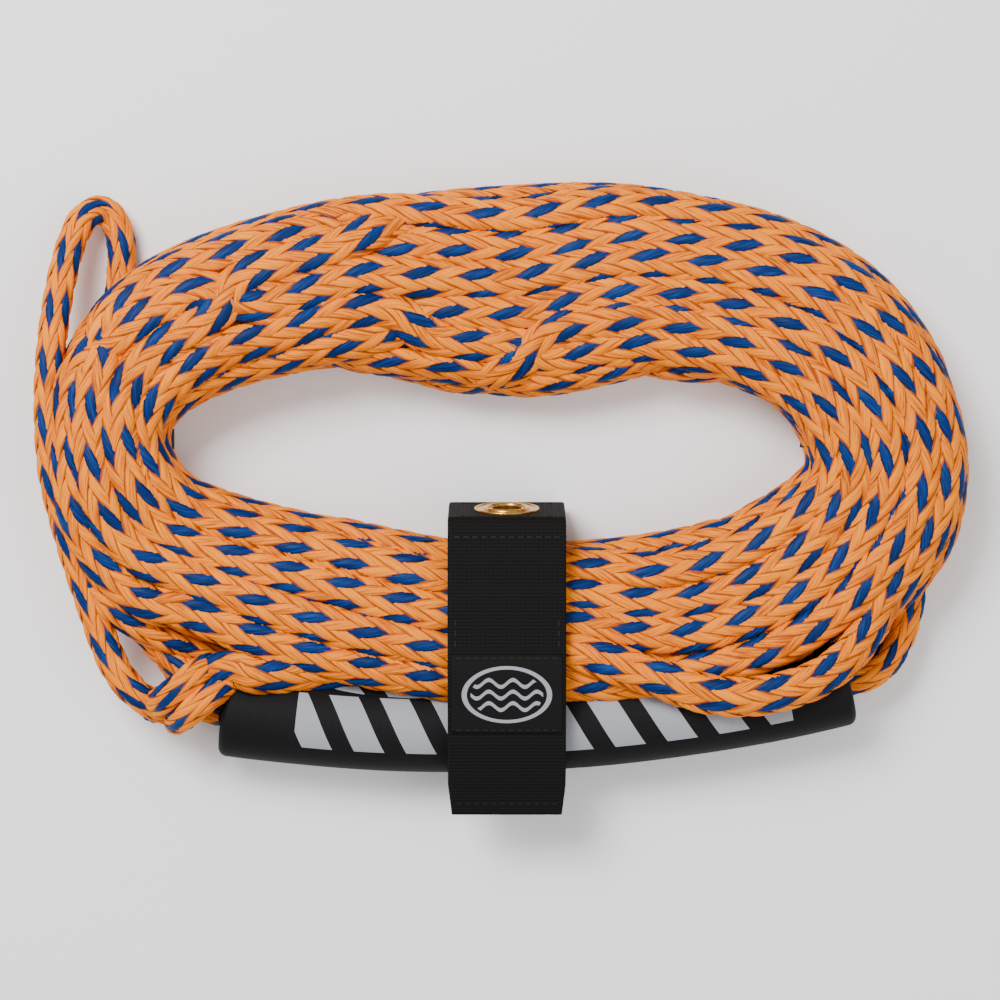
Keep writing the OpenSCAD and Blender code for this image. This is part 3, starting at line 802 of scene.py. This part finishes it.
# a closed strip of cloth along a path in the side view, with rounded edges, lifted along its normal
def strip(name, path, wide, thick, material, lift=0.0, taper=None):
    (p,), length = evenly(np.array(path, float), strapSet["step"])
    for _ in range(2):
        p[1:-1] = 0.25 * p[:-2] + 0.5 * p[1:-1] + 0.25 * p[2:]
    t = unit(np.gradient(p, axis=0))
    n = np.stack([-t[:, 1], t[:, 0]], 1)
    cols = strapSet["cols"]
    x = np.concatenate([[0, 0.15, 0.5], np.linspace(1.2, wide - 1.2, cols), [wide - 0.5, wide - 0.15, wide]])
    edge = strapSet["edge"]
    soft = np.sqrt(np.clip(1 - np.clip((edge - np.minimum(x, wide - x)) / edge, 0, 1) ** 2, 0, 1))
    top = np.stack([x, thick / 2 * soft], 1)
    ring = np.concatenate([top, (top * [1, -1])[1:-1][::-1]])
    rows, m = len(p), len(ring)
    run = np.linspace(0, length, rows)
    narrow = np.ones(rows) if taper is None else np.interp(run, [length - taper[0], length], [1, taper[1]])
    across = strapSet["x"] + strapSet["wide"] / 2 + (ring[None, :, 0] - wide / 2) * narrow[:, None]
    off = ring[None, :, 1] + lift
    verts = np.stack([across, p[:, :1] + n[:, :1] * off, p[:, 1:] + n[:, 1:] * off], -1).reshape(-1, 3)
    i = np.arange(rows - 1)[:, None] * m
    j = np.arange(m)[None]
    k = (j + 1) % m
    faces = np.stack([i + j, i + k, i + m + k, i + m + j], -1).reshape(-1, 4)
    uvs = np.stack([np.tile(ring[:, 0], rows), np.repeat(run, m)], -1)
    piece = meshPiece(name, verts * mm, faces, uvs, material)
    shape = bmesh.new()
    shape.from_mesh(piece.data)
    bmesh.ops.holes_fill(shape, edges=[e for e in shape.edges if e.is_boundary], sides=0)
    bmesh.ops.recalc_face_normals(shape, faces=shape.faces)
    shape.to_mesh(piece.data)
    shape.free()
    return piece, length * mm


# the stretch of a falling path between two places
def between(path, start, stop):
    y = [q[0] for q in path][::-1]
    z = [q[1] for q in path][::-1]
    kept = [q for q in path if stop + 0.3 < q[0] < start - 0.3]
    return [(start, float(np.interp(start, y, z)))] + kept + [(stop, float(np.interp(stop, y, z)))]


joinAt = -20.0
webbing = strapSet["wide"], strapSet["thick"]
strapWrap, wrapLength = strip("strapWrap", wrapPath, *webbing, webLook)
strapFlap, flapLength = strip("strapFlap", [faceTop] + between(flapPath, 58, joinAt), *webbing, webLook)
tailPath = between(flapPath, joinAt, -66)
strapTail, tailLength = strip("strapTail", tailPath, *webbing, webLook, taper=(14, 0.94))
label, _ = strip("label", between(flapPath, 2.5, -30.5), 47, 0.6, webLook, lift=-1.2)
hookPad, _ = strip("hookPad", between(flapPath, 19, -33), 46, 1.2, hookLook, lift=1.5)
loopPath = [wrapEnd, wrapRise, (-34, 42.3)]
loopPad, _ = strip("loopPad", between(loopPath, 20, -33), 46, 1.0, loopLook, lift=-1.4)
print("strap made", round(wrapLength, 3), round(flapLength, 3), round(tailLength, 3))


# three waves in an oval, in millimetres on the label's own weave
waveSet = {"middle": (23.5, 16.8), "oval": (18.0, 11.5), "ring": 0.12, "within": 0.72,
           "rows": (-5.0, 0.0, 5.0), "ripple": 0.62, "swell": 1.5, "line": 0.85, "colour": (0.30, 0.31, 0.34)}


def addWaves(name):
    material = texturedMaterial(name, (0.003, 0.003, 0.003), (0.009, 0.009, 0.009), 0.6, weave, 0.0002,
                                Across=0.7, Along=0.6)
    tree = material.node_tree
    uv = pieceUv(tree)
    x, y = (calc(tree, "SUBTRACT", uv[i], waveSet["middle"][i]) for i in range(2))
    parts = [calc(tree, "POWER", calc(tree, "DIVIDE", value, size), 2)
             for value, size in zip((x, y), waveSet["oval"])]
    reach = calc(tree, "ADD", *parts)
    mask = calc(tree, "COMPARE", reach, 1.0, waveSet["ring"])
    inside = calc(tree, "LESS_THAN", reach, waveSet["within"])
    wave = calc(tree, "SINE", calc(tree, "MULTIPLY", x, waveSet["ripple"]))
    ripple = calc(tree, "MULTIPLY", wave, waveSet["swell"])
    for row in waveSet["rows"]:
        line = calc(tree, "COMPARE", calc(tree, "ADD", y, ripple), row, waveSet["line"])
        mask = calc(tree, "MAXIMUM", mask, calc(tree, "MULTIPLY", line, inside))
    paintOver(material, mask, waveSet["colour"])
    return material


label.data.materials.clear()
label.data.materials.append(addWaves("labelLook"))

faceMiddle = ((faceTop[0] + faceFoot[0]) / 2, (faceTop[1] + faceFoot[1]) / 2)
faceUp = (-math.sin(faceTilt), math.cos(faceTilt))
patchPath = [(faceMiddle[0] + 16.5 * faceUp[0], faceMiddle[1] + 16.5 * faceUp[1]),
             (faceMiddle[0] - 16.5 * faceUp[0], faceMiddle[1] - 16.5 * faceUp[1])]
patch, _ = strip("grommetPatch", patchPath, 46, 1.8, webLook, lift=-1.8)


# cuts the grommet's hole through a layer of the strap
def punch(piece, radius=7.3):
    mesh = bpy.data.meshes.new("punch")
    shape = bmesh.new()
    bmesh.ops.create_cone(shape, cap_ends=True, segments=64, radius1=radius * mm, radius2=radius * mm,
                          depth=12 * mm)
    shape.to_mesh(mesh)
    shape.free()
    tool = bpy.data.objects.new("punch", mesh)
    bpy.context.scene.collection.objects.link(tool)
    tool.rotation_euler = (-math.pi / 2 + faceTilt, 0, 0)
    tool.location = (-13 * mm, faceMiddle[0] * mm, faceMiddle[1] * mm)
    cut = piece.modifiers.new("hole", "BOOLEAN")
    cut.operation = "DIFFERENCE"
    cut.solver = "EXACT"
    cut.object = tool
    bpy.context.view_layer.update()
    made = bpy.data.meshes.new_from_object(piece.evaluated_get(bpy.context.evaluated_depsgraph_get()))
    piece.modifiers.clear()
    piece.data = made
    bpy.data.objects.remove(tool)


punch(strapWrap)
punch(patch)

# the hard pieces keep their own shapes
kept = {"core_tube": tubeLook, "end_plug_left": plugLook, "end_plug_right": plugLook,
        "grommet_eyelet": brassLook, "grommet_washer": brassLook}
for sewn in ("patch", "loop_pad", "hook_pad", "hem", "label", "tail"):
    kept[sewn + "_stitching"] = threadLook
for solid in bpy.data.objects:
    if solid.get("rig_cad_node") in kept:
        solid.data.materials.clear()
        solid.data.materials.append(kept[solid["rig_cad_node"]])

floorMesh = bpy.data.meshes.new("floor")
plane = bmesh.new()
bmesh.ops.create_grid(plane, x_segments=1, y_segments=1, size=6)
plane.to_mesh(floorMesh)
plane.free()
floor = bpy.data.objects.new("floor", floorMesh)
bpy.context.scene.collection.objects.link(floor)
floorLook = bpy.data.materials.new("floorLook")
floorLook.use_nodes = True
floorLook.node_tree.nodes["Principled BSDF"].inputs["Base Color"].default_value = (0.97, 0.97, 0.97, 1)
floorMesh.materials.append(floorLook)

lightSet = {"key": ((-0.7, 0.9, 1.5), 0.8, 46), "fill": ((0.9, -0.5, 1.4), 1.2, 12), "around": 0.62}
for name in ("key", "fill"):
    at, size, power = lightSet[name]
    light = bpy.data.lights.new(name, "AREA")
    light.size = size
    light.energy = power
    lamp = bpy.data.objects.new(name, light)
    lamp.location = at
    lamp.rotation_euler = (-Vector(at)).to_track_quat("-Z", "Y").to_euler()
    bpy.context.scene.collection.objects.link(lamp)
world = bpy.data.worlds.new("world")
world.use_nodes = True
world.node_tree.nodes["Background"].inputs["Color"].default_value = (1, 1, 1, 1)
world.node_tree.nodes["Background"].inputs["Strength"].default_value = lightSet["around"]
bpy.context.scene.world = world

# what each piece rides on, with a finish name that nothing reads
ropes = [ropeMain, *mainYarns, ropeEye, *eyeYarns, ropeRight, *rightYarns, ropeKnot, *knotYarns]
for pieces, body, finish in ((ropes, "grip_and_coil", "rope"), ((tieLeft, tieRight), "grip_and_coil", "tie"),
                             ((gripFoam,), "grip_and_coil", "foam_grip"),
                             ((strapWrap, patch), "grip_and_coil", "webbing"),
                             ((loopPad,), "grip_and_coil", "loop_tape"), ((hookPad,), "flap", "hook_tape"),
                             ((label,), "flap", "label")):
    for piece in pieces:
        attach(piece, body)
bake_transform(strapFlap)
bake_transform(strapTail)
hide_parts("main_coil", "bridle_left_leg", "rope_in_grip")
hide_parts("eye_loop")
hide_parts("bridle_right_leg", "bridle_splice")
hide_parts("eye_knot", "knot_tail")
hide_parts("bundle_tie_left")
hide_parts("bundle_tie_right")
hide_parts("grip_sleeve")
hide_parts("strap_wrap")
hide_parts("grommet_patch")
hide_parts("loop_pad")
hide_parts("hook_pad")
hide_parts("woven_label")
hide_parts("strap_flap")
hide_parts("strap_tail")
